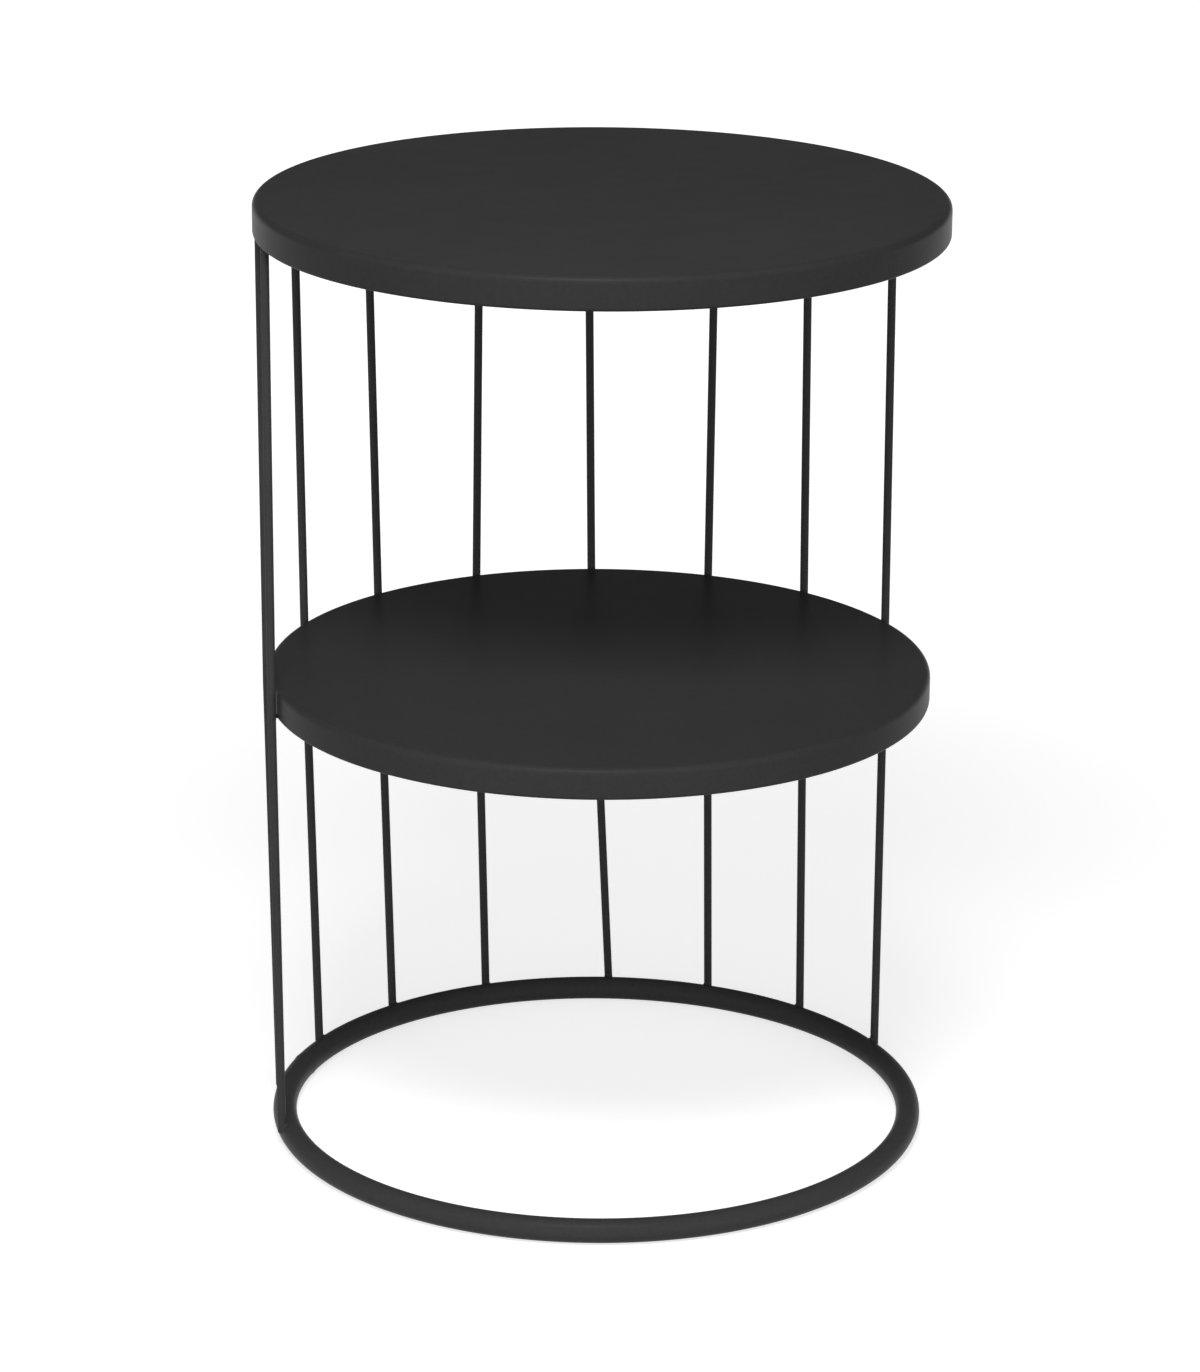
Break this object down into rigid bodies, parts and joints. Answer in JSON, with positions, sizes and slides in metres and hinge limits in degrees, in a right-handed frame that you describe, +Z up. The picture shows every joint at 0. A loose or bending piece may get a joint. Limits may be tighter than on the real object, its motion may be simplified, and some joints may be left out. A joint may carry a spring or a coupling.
{
  "type": "round side table with shelf",
  "caption": "Round side table with a pressed metal top and a lower shelf, held by a row of upright rods round the back that stand on a tube ring.",
  "frame": {"origin": "on the floor, at the centre of the base ring and below the centre of the tabletop", "axes": "+Z up; -Y towards the open side, where no rods stand; +X to the right as seen from the open side"},
  "size_m": [0.36, 0.36, 0.51],
  "materials": {
    "pan_coat": "satin black powder coat",
    "ring_coat": "satin black powder coat",
    "rod_coat": "satin black powder coat",
    "weld_coat": "satin black powder coat over weld beads"
  },
  "bodies": {
    "root": {"tabletop": "pan_coat", "shelf": "pan_coat", "base_ring": "ring_coat", "rod_1": "rod_coat", "rod_2": "rod_coat", "rod_3": "rod_coat", "rod_4": "rod_coat", "rod_5": "rod_coat", "rod_6": "rod_coat", "rod_7": "rod_coat", "rod_8": "rod_coat", "rod_9": "rod_coat", "rod_1_top_weld": "weld_coat", "rod_2_top_weld": "weld_coat", "rod_3_top_weld": "weld_coat", "rod_4_top_weld": "weld_coat", "rod_5_top_weld": "weld_coat", "rod_6_top_weld": "weld_coat", "rod_7_top_weld": "weld_coat", "rod_8_top_weld": "weld_coat", "rod_9_top_weld": "weld_coat", "rod_1_shelf_weld": "weld_coat", "rod_2_shelf_weld": "weld_coat", "rod_3_shelf_weld": "weld_coat", "rod_4_shelf_weld": "weld_coat", "rod_5_shelf_weld": "weld_coat", "rod_6_shelf_weld": "weld_coat", "rod_7_shelf_weld": "weld_coat", "rod_8_shelf_weld": "weld_coat", "rod_9_shelf_weld": "weld_coat", "rod_1_foot_weld": "weld_coat", "rod_2_foot_weld": "weld_coat", "rod_3_foot_weld": "weld_coat", "rod_4_foot_weld": "weld_coat", "rod_5_foot_weld": "weld_coat", "rod_6_foot_weld": "weld_coat", "rod_7_foot_weld": "weld_coat", "rod_8_foot_weld": "weld_coat", "rod_9_foot_weld": "weld_coat"}
  },
  "joints": []
}
